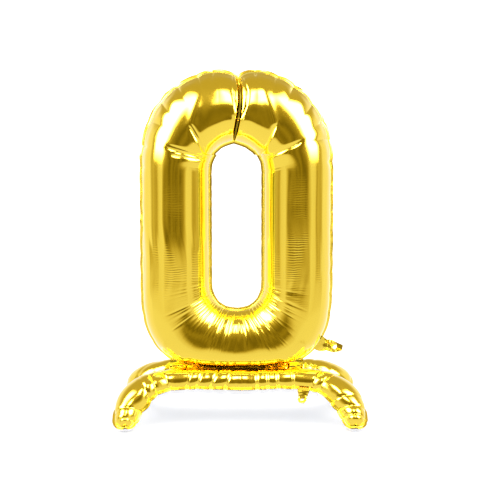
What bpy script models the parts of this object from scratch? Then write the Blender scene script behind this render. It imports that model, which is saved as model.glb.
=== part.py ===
"""Standing foil number balloon in the shape of a zero.

An inflated foil ring (the digit) stands on an inflated foil base with four legs. Each balloon is two foil
sheets sealed together along a flat margin, with a tail that holds a self-sealing film valve. The ring is
closed at the top by a sealed slit, so that its two blunt ends press against each other.

Metres, +Z up. Origin: on the floor, under the middle of the base. The digit faces -Y.
"""

import math

import bmesh
import bpy
from mathutils import Matrix, Vector

# Foil, film and seams
FOIL = 0.0008
PLY_GAP = 0.0005
SEAM = 0.006
FILM = 0.0004
FILM_GAP = 0.0003
SEALED = PLY_GAP / 2 + FOIL  # outer face of a sealed sheet, from the seam's middle
OVER_FILM = FILM_GAP * 2.5 + FILM + FOIL  # the same where the valve's films pass between the sheets

# Ring, measured on its pocket: the seam margin stands outside these
RING_SHIFT = -0.0075  # the ring is joined to the base a little to the left of its middle
RING_HALF_WIDTH = 0.2055
RING_BOTTOM = 0.1055
RING_TOP = 0.757
CROWN_HEIGHT, CROWN_POWER = 0.210, 2.25  # superellipse of the outer top corners
SOLE_HEIGHT, SOLE_POWER = 0.205, 3.1  # and of the squarer bottom corners
HOLE_HALF_WIDTH = 0.0595
TOP_LIMB, BOTTOM_LIMB = 0.158, 0.130  # width of the ring above and below its hole
HOLE_END_HEIGHT, HOLE_POWER = 0.063, 2.25
DEPTH_SHARE = 0.485  # half depth of the tube, as a share of its width
MOST_HALF_DEPTH = 0.075
SLIT_HALF_WIDTH = 0.0015
SLIT_ROUND = 0.036  # length over which each blunt end rounds off beside the slit
CROWN_NOTCH, HOLE_NOTCH = 0.016, 0.006  # how deep the two edges dip at the slit
NOTCH_REACH = 0.055
SLIT_STATIONS = (0.0, SLIT_HALF_WIDTH, 0.006, 0.015, 0.027, 0.042)
FAN_STEPS, SIDE_STEPS = 8, 4
RING_NECK_ANGLE = 36.5  # of the tail, down the lower right corner from the side
SOLE_ANGLES = (0, 11, 22, 30, RING_NECK_ANGLE, 43, 54, 66, 78, 90)
RING_ARC_STEPS = 8

# Base, as half an arch: a Bezier curve from its middle to the tip of a leg, here the front right one
ARCH = (
    Vector((0.0, -0.048, 0.0850)),
    Vector((0.130, -0.044, 0.0850)),
    Vector((0.235, -0.048, 0.1140)),
    Vector((0.243, -0.097, 0.0270)),
    Vector((0.240, -0.136, 0.0100)),
)
TUBE_RADIUS = 0.026
SHOULDER_HALF_WIDTH, SHOULDER_HALF_DEPTH = 0.037, 0.029
FOOT_HALF_WIDTH, FOOT_HALF_DEPTH = 0.026, 0.026
SHOULDER_RISE, FOOT_FALL = (0.25, 0.55), (0.62, 0.86)  # where along the half arch the sizes change
TUBE_DIP, FOOT_DIP = math.radians(25), math.radians(4)  # how far the seams lie below the tube's middle
TIP_STARTS = 0.80  # where the leg starts to round off
TIP_BLUNTNESS = 0.62  # under 1 keeps the tip's depth longer than its width
WEB_ENDS = 0.54
ARCH_STEPS, TIP_STEPS = 18, 5
TUBE_ARC_STEPS = 9

# Tails and valves: length, root width, tip radius, hole radius, and how far out the hole is
RING_TAIL = (0.058, 0.034, 0.0095, 0.0045, 0.040)
BASE_TAIL = (0.036, 0.026, 0.0080, 0.0035, 0.024)
TAIL_FOLD_GAP = 0.0030
TAIL_TIP_SPREAD = 75
TAIL_HEIGHT = OVER_FILM - FOIL / 2
VALVE_WIDTH = 0.016
RING_VALVE_INSIDE, BASE_VALVE_INSIDE = 0.080, 0.046
NECK_FLAT, NECK_ENDS = 0.026, 0.046  # the seam is lifted fully up to the first, and not at all past the second
RING_TAIL_LEAN = 18  # degrees that the tail leans up from the square of its root
BASE_NECK_AT = TIP_STARTS * 7 / ARCH_STEPS
BASE_TAIL_HANG = math.radians(62)

# Tongues that join the ring's margin to the web of the base
TONGUE_X, TONGUE_WIDTH = 0.132, 0.030
TONGUE_BELOW_POCKET = 0.0015
TONGUE_CLEARANCE = 0.0004
WELD_CLEARANCE = 0.0006
TONGUE_STEPS = 4

ARC_STEPS = 6
MERGE = 0.00001

GOLD = ("gold_foil", (0.86, 0.62, 0.10, 1.0), 0.16, 1.0)
SILVER = ("silver_foil", (0.83, 0.81, 0.84, 1.0), 0.18, 1.0)
CLEAR = ("clear_film", (0.90, 0.92, 0.92, 1.0), 0.35, 0.0)


# ---------------------------------------------------------------- helpers


def clear_scene():
    for obj in list(bpy.data.objects):
        bpy.data.objects.remove(obj)


def make_material(name, colour, roughness, metallic):
    material = bpy.data.materials.new(name)
    material.use_nodes = True
    shader = material.node_tree.nodes["Principled BSDF"]
    shader.inputs["Base Color"].default_value = colour
    shader.inputs["Roughness"].default_value = roughness
    shader.inputs["Metallic"].default_value = metallic
    return material


def smoothstep(low, high, value):
    share = min(1.0, max(0.0, (value - low) / (high - low)))
    return share * share * (3 - 2 * share)


def link(obj, collection, material):
    collection.objects.link(obj)
    obj.data.materials.append(material)
    return obj


def make_axis(name, origin, collection):
    axis = bpy.data.objects.new(name, None)
    axis.empty_display_size = 0.03
    axis.location = origin
    collection.objects.link(axis)
    return axis


def hang_on(axis, *pieces):
    """Parents the pieces to a joint's empty, where they already are."""
    bpy.context.view_layer.update()
    for piece in pieces:
        piece.parent = axis
        piece.matrix_parent_inverse = axis.matrix_world.inverted()


def loft(mesh, rows, flip, loop=False):
    """Quads through rows of points that all have the same length."""
    grid = [[mesh.verts.new(point) for point in row] for row in rows]
    following = grid[1:] + (grid[:1] if loop else [])
    for row, after in zip(grid, following):
        for j in range(len(row) - 1):
            corners = (row[j], row[j + 1], after[j + 1], after[j])
            mesh.faces.new(corners[::-1] if flip else corners)


def sheet_object(name, mesh):
    """An open surface as a foil sheet, thickened inwards from its outer face."""
    bmesh.ops.remove_doubles(mesh, verts=mesh.verts, dist=MERGE)
    bmesh.ops.dissolve_degenerate(mesh, edges=mesh.edges, dist=MERGE)
    data = bpy.data.meshes.new(name)
    mesh.to_mesh(data)
    mesh.free()
    data.shade_smooth()
    obj = bpy.data.objects.new(name, data)
    thickness = obj.modifiers.new("Foil", "SOLIDIFY")
    thickness.thickness = FOIL
    thickness.offset = -1
    thickness.use_even_offset = True
    return obj


def plate(name, outline, holes, thickness, placement):
    """A flat plate: an outline with holes, in its own XY plane, centred on its thickness."""
    curve = bpy.data.curves.new(name, "CURVE")
    curve.dimensions = "2D"
    curve.fill_mode = "BOTH"
    curve.extrude = thickness / 2
    for loop in (outline, *holes):
        spline = curve.splines.new("POLY")
        spline.points.add(len(loop) - 1)
        for point, (x, y) in zip(spline.points, loop):
            point.co = (x, y, 0, 1)
        spline.use_cyclic_u = True
    obj = bpy.data.objects.new(name, curve)
    obj.matrix_world = placement
    return obj


def arc(centre, radius, start, end, steps):
    """Points on an arc, with the angles in degrees."""
    angles = [math.radians(start + (end - start) * k / steps) for k in range(steps + 1)]
    return [(centre[0] + radius * math.cos(a), centre[1] + radius * math.sin(a)) for a in angles]


def placement_of(origin, along, across):
    """A matrix whose X axis runs along, whose Y axis runs across, and whose Z axis is their normal."""
    normal = along.cross(across).normalized()
    matrix = Matrix((along.normalized(), across.normalized(), normal)).transposed().to_4x4()
    matrix.translation = origin
    return matrix


# ---------------------------------------------------------------- ring


def superellipse(half_width, half_height, power, angle):
    """Point of a superellipse's first quadrant. Angle 0 is its side and a quarter turn its top."""
    return Vector(
        (
            half_width * math.cos(angle) ** (2 / power),
            half_height * math.sin(angle) ** (2 / power),
        )
    )


def angle_at(x, half_width, power):
    return math.acos((x / half_width) ** (power / 2))


def crown_outer(angle):
    point = superellipse(RING_HALF_WIDTH, CROWN_HEIGHT, CROWN_POWER, angle)
    dip = CROWN_NOTCH * nearness_to_slit(point.x)
    return Vector((point.x, RING_TOP - CROWN_HEIGHT + point.y - dip))


def crown_inner(angle):
    point = superellipse(HOLE_HALF_WIDTH, HOLE_END_HEIGHT, HOLE_POWER, angle)
    dip = HOLE_NOTCH * nearness_to_slit(point.x)
    return Vector((point.x, RING_TOP - TOP_LIMB - HOLE_END_HEIGHT + point.y + dip))


def sole_outer(angle):
    point = superellipse(RING_HALF_WIDTH, SOLE_HEIGHT, SOLE_POWER, angle)
    return Vector((point.x, RING_BOTTOM + SOLE_HEIGHT - point.y))


def sole_inner(angle):
    point = superellipse(HOLE_HALF_WIDTH, HOLE_END_HEIGHT, HOLE_POWER, angle)
    return Vector((point.x, RING_BOTTOM + BOTTOM_LIMB + HOLE_END_HEIGHT - point.y))


def nearness_to_slit(x):
    return max(0.0, 1 - x / NOTCH_REACH) ** 2


def right_stations():
    """(outer, inner) points in X and Z, from the slit at the top down the right side to the bottom."""
    stations = [
        (
            crown_outer(angle_at(x, RING_HALF_WIDTH, CROWN_POWER)),
            crown_inner(angle_at(x, HOLE_HALF_WIDTH, HOLE_POWER)),
        )
        for x in SLIT_STATIONS
    ]
    outer_start = angle_at(SLIT_STATIONS[-1], RING_HALF_WIDTH, CROWN_POWER)
    inner_start = angle_at(SLIT_STATIONS[-1], HOLE_HALF_WIDTH, HOLE_POWER)
    for k in range(1, FAN_STEPS + 1):
        left = 1 - k / FAN_STEPS
        stations.append((crown_outer(outer_start * left), crown_inner(inner_start * left)))
    for k in range(1, SIDE_STEPS):
        share = k / SIDE_STEPS
        outer = crown_outer(0).lerp(sole_outer(0), share)
        inner = crown_inner(0).lerp(sole_inner(0), share)
        stations.append((outer, inner))
    for angle in map(math.radians, SOLE_ANGLES):
        stations.append((sole_outer(angle), sole_inner(angle)))
    return stations


def all_stations():
    right = right_stations()
    left = [(Vector((-o.x, o.y)), Vector((-i.x, i.y))) for o, i in right[-2:0:-1]]
    return right + left


def outward_normals(loop, towards):
    """Unit normals of a closed 2D loop, on the side that the sign of towards picks."""
    normals = []
    for k, point in enumerate(loop):
        run = loop[(k + 1) % len(loop)] - loop[k - 1]
        if abs(point.x) < MERGE:
            run.y = 0.0
        normal = Vector((-run.y, run.x)).normalized()
        normals.append(normal * towards)
    return normals


def ring_neck():
    """Where the ring's tail leaves its margin: the point on the pocket's edge, and the way out."""
    angle, step = math.radians(RING_NECK_ANGLE), 0.01
    run = sole_outer(angle - step) - sole_outer(angle + step)
    return sole_outer(angle), Vector((run.y, -run.x)).normalized()


def sheet_offset(distance_to_neck):
    """Outer face of a margin, from the seam's middle: it lifts where the valve's films pass through."""
    lift = 1 - smoothstep(NECK_FLAT, NECK_ENDS, distance_to_neck)
    return SEALED + (OVER_FILM - SEALED) * lift


def ring_half_depth(outer, inner):
    return min(MOST_HALF_DEPTH, DEPTH_SHARE * (outer - inner).length)


def slit_rounding(point):
    """1 in the open ring, falling to 0 at the slit's sealed strip."""
    if point.y < RING_TOP - TOP_LIMB - SEAM - HOLE_END_HEIGHT:
        return 1.0
    share = min(1.0, max(0.0, (abs(point.x) - SLIT_HALF_WIDTH) / SLIT_ROUND))
    return math.sqrt(1 - (1 - share) ** 2)


def ring_panel(name, side):
    """One sheet of the ring: side -1 is the front, +1 the back."""
    stations = all_stations()
    outer_normals = outward_normals([o for o, _ in stations], 1)
    inner_normals = outward_normals([i for _, i in stations], -1)
    neck, _ = ring_neck()
    rows = []
    for (outer, inner), out, into in zip(stations, outer_normals, inner_normals):
        offset = sheet_offset((outer - neck).length)
        half_depth = ring_half_depth(outer, inner)
        row = [(outer + out * SEAM, offset)]
        for j in range(RING_ARC_STEPS + 1):
            angle = math.pi * j / RING_ARC_STEPS
            flat = outer.lerp(inner, (1 - math.cos(angle)) / 2)
            share = j / RING_ARC_STEPS
            lift = offset + (SEALED - offset) * share
            row.append((flat, lift + half_depth * math.sin(angle) * slit_rounding(flat)))
        row.append((inner + into * SEAM, SEALED))
        rows.append([Vector((flat.x + RING_SHIFT, side * depth, flat.y)) for flat, depth in row])
    mesh = bmesh.new()
    loft(mesh, rows, flip=side > 0, loop=True)
    return sheet_object(name, mesh)


# ---------------------------------------------------------------- base


def bezier(points, u):
    while len(points) > 1:
        points = [before.lerp(after, u) for before, after in zip(points, points[1:])]
    return points[0]


def arch_frame(u):
    """(centre, tangent, level direction towards the outer seam, normal towards the upper sheet)."""
    step = 0.001
    tangent = (bezier(ARCH, u + step) - bezier(ARCH, u - step)).normalized()
    level = tangent.cross(Vector((0, 0, 1))).normalized()
    return bezier(ARCH, u), tangent, level, level.cross(tangent)


def along_leg(tube, shoulder, foot, u):
    """A size that goes from the middle tube's to the shoulder's to the foot's."""
    return tube + (shoulder - tube) * smoothstep(*SHOULDER_RISE, u) + (foot - shoulder) * smoothstep(*FOOT_FALL, u)


def arch_section(u):
    """(half width, half depth, dip of its seams, how steeply the width changes along) of the tube at u."""
    half_width = along_leg(TUBE_RADIUS, SHOULDER_HALF_WIDTH, FOOT_HALF_WIDTH, u)
    half_depth = along_leg(TUBE_RADIUS, SHOULDER_HALF_DEPTH, FOOT_HALF_DEPTH, u)
    dip = along_leg(TUBE_DIP, TUBE_DIP, FOOT_DIP, u)
    if u <= TIP_STARTS:
        return half_width, half_depth, dip, 0.0
    along = min(1.0, (u - TIP_STARTS) / (1 - TIP_STARTS))
    tip_length = (bezier(ARCH, 1) - bezier(ARCH, TIP_STARTS)).length
    round_off = math.sqrt(max(0.0, 1 - along * along))
    slope = -half_width * along / (tip_length * max(round_off, 0.001))
    return half_width * round_off, half_depth * round_off**TIP_BLUNTNESS, dip, slope


def arch_stations():
    """Positions along the half arch, closing up towards the tip as a round end needs."""
    body = [TIP_STARTS * k / ARCH_STEPS for k in range(ARCH_STEPS)]
    tip = [math.sin(math.pi / 2 * k / TIP_STEPS) for k in range(TIP_STEPS + 1)]
    return body + [TIP_STARTS + (1 - TIP_STARTS) * share for share in tip]


def outer_seam(u):
    """The point on the outer seam, at the pocket's edge."""
    centre, _, level, normal = arch_frame(u)
    half_width, half_depth, dip, _ = arch_section(u)
    return centre + level * half_width * math.cos(dip) - normal * half_depth * math.sin(dip)


def arch_row(u, side, neck):
    """Outer face of one sheet across the tube at u, from the inner margin to the outer one."""
    centre, tangent, level, normal = arch_frame(u)
    half_width, half_depth, dip, slope = arch_section(u)
    leaning = math.hypot(1, slope)
    outer_edge = (level - slope * tangent) / leaning
    inner_edge = (-level - slope * tangent) / leaning
    seams = centre - normal * half_depth * math.sin(dip)
    reach = level * half_width * math.cos(dip)
    offset = sheet_offset((seams + reach - outer_seam(BASE_NECK_AT)).length) if neck else SEALED
    row = [seams - reach + inner_edge * SEAM + normal * side * SEALED]
    start, sweep = math.pi + dip, math.pi + 2 * dip * side
    for j in range(TUBE_ARC_STEPS + 1):
        share = j / TUBE_ARC_STEPS
        angle = start - side * sweep * share
        lift = side * (SEALED + (offset - SEALED) * share)
        across = level * half_width * math.cos(angle)
        row.append(centre + across + normal * (half_depth * math.sin(angle) + lift))
    row.append(seams + reach + outer_edge * SEAM + normal * side * offset)
    return [Vector((p.x, p.y, max(p.z, 0.0))) for p in row]


def mirrored(rows, axis):
    turned = []
    for row in rows:
        turned.append([Vector([-c if k == axis else c for k, c in enumerate(p)]) for p in row])
    return turned


def base_panel(name, side):
    """One sheet of the base: side +1 is the upper, -1 the lower. Both arches and the web are one piece."""
    plain = [arch_row(u, side, neck=False) for u in arch_stations()]
    with_neck = [arch_row(u, side, neck=True) for u in arch_stations()]
    front = mirrored(plain, 0)[:0:-1] + with_neck
    back = mirrored(mirrored(plain, 0)[:0:-1] + plain, 1)
    mesh = bmesh.new()
    loft(mesh, front, flip=side < 0)
    loft(mesh, back, flip=side > 0)
    web_stations = [u for u in arch_stations() if u <= WEB_ENDS]
    edge = [arch_row(u, side, neck=False)[0] for u in web_stations]
    half_web = [[p, Vector((p.x, 0, p.z)), Vector((p.x, -p.y, p.z))] for p in edge]
    loft(mesh, mirrored(half_web, 0)[:0:-1] + half_web, flip=side > 0)
    return sheet_object(name, mesh)


# ---------------------------------------------------------------- tails, valves and tongues


def along_tail(distance, lean):
    return distance * math.cos(math.radians(lean)), distance * math.sin(math.radians(lean))


def tail_outline(tail, lean):
    """A tail in its own plane: its root lies beside the Y axis, and it points along +X but for its lean."""
    length, root_width, radius = tail[:3]
    root = [(TAIL_FOLD_GAP, root_width / 2), (TAIL_FOLD_GAP, -root_width / 2)]
    tip = along_tail(length - radius, lean)
    return root + arc(tip, radius, lean - TAIL_TIP_SPREAD, lean + TAIL_TIP_SPREAD, ARC_STEPS)


def tail_plies(names, placement, tail, lean):
    """The tail's two foil plies, one on each side of its plane."""
    hole = arc(along_tail(tail[4], lean), tail[3], 0, 330, 11)
    outline = tail_outline(tail, lean)
    return [
        plate(name, outline, [hole], FOIL, placement @ Matrix.Translation((0, 0, sign * TAIL_HEIGHT)))
        for name, sign in zip(names, (1, -1))
    ]


def valve_films(names, placement, inside):
    """The valve's two films, lying flat together from the tail's root, through the neck, into the balloon."""
    half = VALVE_WIDTH / 2
    outline = [(0, half), (-inside, half), (-inside, -half), (0, -half)]
    height = (FILM_GAP + FILM) / 2
    return [
        plate(name, outline, [], FILM, placement @ Matrix.Translation((0, 0, sign * height)))
        for name, sign in zip(names, (1, -1))
    ]


def ring_tail_placement():
    neck, outward = ring_neck()
    root = neck + outward * SEAM
    along = Vector((outward.x, 0, outward.y))
    across = Vector((-outward.y, 0, outward.x))
    return placement_of(Vector((root.x + RING_SHIFT, 0, root.y)), along, across)


def base_neck_placement():
    step = 0.02
    run = (outer_seam(BASE_NECK_AT + step) - outer_seam(BASE_NECK_AT - step)).normalized()
    level = arch_frame(BASE_NECK_AT)[2]
    outward = (level - level.dot(run) * run).normalized()
    return placement_of(outer_seam(BASE_NECK_AT) + outward * SEAM, outward, run)


def base_tail_placement():
    """The neck's placement, turned down about the tail's root."""
    return base_neck_placement() @ Matrix.Rotation(BASE_TAIL_HANG, 4, "Y")


def tongue(name, side):
    """A foil strip from the ring's margin down to the web, on the front of the margin."""
    left, right = side * TONGUE_X - TONGUE_WIDTH / 2, side * TONGUE_X + TONGUE_WIDTH / 2
    across = [left + (right - left) * k / TONGUE_STEPS for k in range(TONGUE_STEPS + 1)]
    top = [(x + RING_SHIFT, pocket_bottom(abs(x)) - TONGUE_BELOW_POCKET) for x in across]
    foot = [(x, web_height(abs(x)) + WELD_CLEARANCE) for x, _ in top]
    placement = placement_of(Vector((0, tongue_depth(), 0)), Vector((1, 0, 0)), Vector((0, 0, 1)))
    return plate(name, foot + top[::-1], [], FOIL, placement)


def tongue_depth():
    return -(SEALED + TONGUE_CLEARANCE + FOIL / 2)


def pocket_bottom(x):
    return sole_outer(angle_at(x, RING_HALF_WIDTH, SOLE_POWER)).y


def web_height(x):
    """Top of the web where the half arch passes x."""
    edges = [arch_row(u, 1, neck=False)[0] for u in arch_stations() if u <= WEB_ENDS]
    for before, after in zip(edges, edges[1:]):
        if before.x <= x <= after.x:
            share = (x - before.x) / (after.x - before.x)
            return before.z + (after.z - before.z) * share
    return edges[-1].z


# ---------------------------------------------------------------- assembly


def build():
    clear_scene()
    collection = bpy.data.collections.new("standing_number_balloon")
    bpy.context.scene.collection.children.link(collection)
    gold, silver, clear = (make_material(*finish) for finish in (GOLD, SILVER, CLEAR))

    front = link(ring_panel("number_front_panel", -1), collection, gold)
    back = link(ring_panel("number_back_panel", 1), collection, gold)
    tongues = [tongue("joining_tongue_left", -1), tongue("joining_tongue_right", 1)]
    ring_tail = ring_tail_placement()
    ring_films = valve_films(("number_valve_film_front", "number_valve_film_back"), ring_tail, RING_VALVE_INSIDE)
    ring_plies = tail_plies(
        ("number_tail_front_ply", "number_tail_back_ply"), ring_tail, RING_TAIL, RING_TAIL_LEAN
    )

    link(base_panel("base_upper_panel", 1), collection, gold)
    link(base_panel("base_lower_panel", -1), collection, silver)
    neck, base_tail = base_neck_placement(), base_tail_placement()
    base_films = valve_films(("base_valve_film_upper", "base_valve_film_lower"), neck, BASE_VALVE_INSIDE)
    base_plies = tail_plies(("base_tail_upper_ply", "base_tail_lower_ply"), base_tail, BASE_TAIL, 0)

    for film in ring_films + base_films:
        link(film, collection, clear)
    for piece in tongues + ring_plies:
        link(piece, collection, gold)
    for piece, material in zip(base_plies, (gold, silver)):
        link(piece, collection, material)

    rock_axis = make_axis("number_rock_axis", (0, tongue_depth(), web_height(TONGUE_X)), collection)
    ring_tail_axis = make_axis("number_tail_fold_axis", ring_tail.translation, collection)
    base_tail_axis = make_axis("base_tail_fold_axis", base_tail.translation, collection)
    hang_on(ring_tail_axis, *ring_plies)
    hang_on(base_tail_axis, *base_plies)
    hang_on(rock_axis, front, back, *tongues, *ring_films, ring_tail_axis)


build()
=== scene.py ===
"""Looks of the standing foil number balloon: an inflated foil ring on an inflated foil base.

Every foil sheet is made again here at a finer step than the CAD sheets, with the creases that a flat sheet
takes when it is blown up: pinches along the sealed seams, pleats round the ends of the hole, ripples on the
straight limbs, and crumpled tails and tongues. Metres, +Z up. The digit faces -Y.
"""

import math
from functools import partial
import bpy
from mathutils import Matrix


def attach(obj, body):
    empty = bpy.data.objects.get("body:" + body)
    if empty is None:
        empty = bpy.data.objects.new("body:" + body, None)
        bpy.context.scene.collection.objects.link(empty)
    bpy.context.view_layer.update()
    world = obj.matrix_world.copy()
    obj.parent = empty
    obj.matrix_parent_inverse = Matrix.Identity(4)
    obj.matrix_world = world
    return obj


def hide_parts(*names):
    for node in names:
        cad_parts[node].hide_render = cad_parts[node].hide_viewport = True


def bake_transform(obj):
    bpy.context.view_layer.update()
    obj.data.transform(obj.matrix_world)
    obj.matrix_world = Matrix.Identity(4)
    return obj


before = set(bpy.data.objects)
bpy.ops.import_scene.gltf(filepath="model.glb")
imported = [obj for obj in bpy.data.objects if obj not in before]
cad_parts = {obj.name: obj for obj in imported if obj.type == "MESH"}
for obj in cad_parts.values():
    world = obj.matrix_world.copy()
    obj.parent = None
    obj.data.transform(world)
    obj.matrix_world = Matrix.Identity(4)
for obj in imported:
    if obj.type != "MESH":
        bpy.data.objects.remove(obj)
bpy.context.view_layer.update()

from types import SimpleNamespace

import bpy
import numpy as np
from mathutils import Vector

SEED = 20

# ---- sizes shared with the CAD sheets

SEAM = 0.006  # width of a heat-sealed margin
SEALED = 0.00105  # outer face of a sealed sheet, from the seam's middle
SEALED_EDGE = 0.0003  # the same in a margin, which is thinner here than the CAD's

RING_SHIFT = -0.0075
RING_HALF_WIDTH = 0.2055
RING_BOTTOM, RING_TOP = 0.1055, 0.757
CROWN_HEIGHT, CROWN_POWER = 0.210, 2.25
SOLE_HEIGHT, SOLE_POWER = 0.205, 3.1
HOLE_HALF_WIDTH = 0.0595
TOP_LIMB, BOTTOM_LIMB = 0.158, 0.130
HOLE_TOP, HOLE_BOTTOM = RING_TOP - TOP_LIMB, RING_BOTTOM + BOTTOM_LIMB
HOLE_END_HEIGHT, HOLE_POWER = 0.063, 2.25
DEPTH_SHARE = 0.485  # the tube's greatest half depth, as a share of its width
CROWN_NOTCH, HOLE_NOTCH = 0.016, 0.006
NOTCH_REACH = 0.055
SLIT_ZONE = 0.042  # up to here the ring's stations are square to the slit, and then they fan out

# Control points of half an arch, from its middle to its foot
ARCH = (
    (0.0, -0.048, 0.0850), (0.130, -0.044, 0.0850), (0.235, -0.048, 0.1140),
    (0.243, -0.097, 0.0270), (0.240, -0.136, 0.0100),
)
TUBE_RADIUS = 0.026
SHOULDER_HALF_WIDTH, SHOULDER_HALF_DEPTH = 0.037, 0.029
FOOT_HALF_WIDTH, FOOT_HALF_DEPTH = 0.026, 0.026
SHOULDER_RISE, FOOT_FALL = (0.25, 0.55), (0.62, 0.86)  # shares of the arch over which its section changes
TUBE_DIP, FOOT_DIP = math.radians(25), math.radians(4)  # how far below the tube's middle its seams lie
TIP_STARTS = 0.80
TIP_BLUNTNESS = 0.62
WEB_ENDS = 0.54


# ---- small maths


def smoothstep(low, high, value):
    share = np.clip((value - low) / (high - low), 0, 1)
    return share * share * (3 - 2 * share)


def lerp(first, second, share):
    return first + (second - first) * share


def unit(vectors):
    return vectors / np.maximum(np.linalg.norm(vectors, axis=-1, keepdims=True), 1e-12)


def arc_length(points, weights=1):
    steps = np.linalg.norm(np.diff(points, axis=0), axis=1) * weights
    return np.concatenate(([0.0], np.cumsum(steps)))


def edge_distances(points):
    """How far each point of a grid is from its row's first and last point, along the row."""
    steps = np.linalg.norm(np.diff(points, axis=1), axis=2)
    from_first = np.pad(np.cumsum(steps, axis=1), ((0, 0), (1, 0)))
    return from_first, from_first[:, -1:] - from_first


def resampled(parameter, measure, count):
    """The parameter at count + 1 places that are equally far apart by the measure."""
    return np.interp(np.linspace(0, measure[-1], count + 1), measure, parameter)


def wave(rng, line, period, loop_length=None):
    """Smooth noise along a line, from about -1 to 1. It closes up if a loop's length is given."""
    low, high = float(line.min()), float(line.max())
    if loop_length is None:
        knots = np.arange(low - 2 * period, high + 3 * period, period)
        values = rng.uniform(-1, 1, len(knots))
    else:
        count = max(3, round(loop_length / period))
        values = np.tile(rng.uniform(-1, 1, count), 3)
        knots = (np.arange(3 * count) - count) * loop_length / count
    place = np.interp(line, knots, np.arange(len(knots)))
    before = np.clip(np.floor(place).astype(int), 0, len(knots) - 2)
    share = place - before
    return lerp(values[before], values[before + 1], share * share * (3 - 2 * share))


def waves(rng, seam, layers):
    return sum(height * wave(rng, seam.along, period, seam.length) for height, period in layers)


def marks_along(rng, start, end, spacing, jitter):
    """Places along a line, a little uneven, with the first at start and the last at end."""
    count = max(2, round((end - start) / spacing))
    marks = np.linspace(start, end, count + 1)
    marks[1:-1] += rng.uniform(-jitter, jitter, count - 1) * spacing
    return marks


def pillows(line, marks, sharpness):
    """1 midway between two marks and 0 on a mark, where there is a crease if the sharpness is under 1."""
    after = np.clip(np.searchsorted(marks, line), 1, len(marks) - 1)
    share = (line - marks[after - 1]) / (marks[after] - marks[after - 1])
    return np.sin(np.pi * np.clip(share, 0, 1)) ** sharpness


def creases(line, marks, pull, sharpness):
    """How deep the creases at the marks are along a line, if each one has its own pull."""
    return np.interp(line, marks, pull) * (1 - pillows(line, marks, sharpness))


def band(distance, rise, reach, power):
    """A profile that rises over two distances and has mostly gone beyond its reach."""
    return smoothstep(*rise, distance) * np.exp(-((distance / reach) ** power))


def seam_move(seam, depthwise, distance, hold):
    """How a seam's sway and scallops move the sheet beside it, which they hold up to some distance."""
    move = depthwise * seam.sway[:, None, None] - seam.away * seam.drawn_in[:, None, None]
    return move * np.exp(-((distance / hold) ** 1.5))[..., None]


# ---- meshes

MERGE_WITHIN = 2e-6
SEAM_SHADE = 0.004  # how far from a margin the foil's shader still treats it as seam
MARGIN_REACH = np.array((0.06, 0.5, 1.0))  # of each column of a sealed margin, as a share of its width
MARGINS = ((0, 0), (len(MARGIN_REACH), len(MARGIN_REACH)))  # what they add to a grid's rows and columns


def grid_faces(rows, columns, first=0, loop=False, flip=False):
    """Quads between rows of points, as indices."""
    index = first + np.arange(rows * columns).reshape(rows, columns)
    after = np.roll(index, -1, axis=0) if loop else index[1:]
    index = index if loop else index[:-1]
    quads = np.stack((index[:, :-1], index[:, 1:], after[:, 1:], after[:, :-1]), axis=-1).reshape(-1, 4)
    return quads[:, ::-1] if flip else quads


def linked(name, data):
    obj = bpy.data.objects.new(name, data)
    bpy.context.scene.collection.objects.link(obj)
    return obj


def mesh_object(name, points, faces, material, **values):
    """A smooth mesh object in its material's slot. The shader reads its values, one per point: seam is how
    near a sealed margin is, and ripple how strong the fine level ripples are."""
    places = np.round(points / MERGE_WITHIN).astype(np.int64)
    _, first, index = np.unique(places, axis=0, return_index=True, return_inverse=True)
    faces = index.reshape(-1)[faces]
    following = np.roll(faces, -1, axis=1)
    whole = (faces != following).all(axis=1)
    data = bpy.data.meshes.new(name)
    data.from_pydata(points[first].tolist(), [], faces[whole].tolist())
    data.validate()
    data.update()
    for key, value in values.items():
        attribute = data.attributes.new(key, "FLOAT", "POINT")
        attribute.data.foreach_set("value", value[first].astype(np.float32))
    data.shade_smooth()
    data.materials.append(material)
    obj = linked(name, data)
    return obj


def with_margins(points, first, last, thinner):
    """A grid of points with a sealed margin added at both ends of its rows, along the two ways out."""
    reach = MARGIN_REACH[None, :, None]
    before = points[:, :1] + first * reach[:, ::-1] + thinner
    after = points[:, -1:] + last * reach + thinner
    return np.concatenate((before, points, after), axis=1)


def surface_normals(points, loop=False):
    """Unit normals of a grid of points, on the side that grid_faces without flip faces."""
    if loop:
        along = np.roll(points, -1, axis=0) - np.roll(points, 1, axis=0)
    else:
        along = np.gradient(points, axis=0)
    across = np.gradient(points, axis=1)
    return unit(np.cross(across, along))


# ---- outline of the ring

RING_STEP = 0.0020
FINE = 1200  # points on each stretch of an outline, before it is divided into stations
SLIT_CLOSER = ((1.2, 0.045), (1.6, 0.012))  # how much closer stations lie by the slit, and how far off
SLIT_HALF_WIDTH = 0.0008
SLIT_ROUND, SLIT_POWER = 0.0055, 2.4  # the blunt ends beside the slit


def outline_end(half_width, height, power, level, way, notch, angle):
    """A round end of one of the ring's seams, in X and Z: way is 1 for the crown and -1 for the sole."""
    x = half_width * np.abs(np.cos(angle)) ** (2 / power)
    up = height * np.abs(np.sin(angle)) ** (2 / power)
    notched = notch * np.maximum(0.0, 1 - np.abs(x) / NOTCH_REACH) ** 2
    return np.stack((x, level + notched + way * (up - height)), axis=-1)


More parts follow.
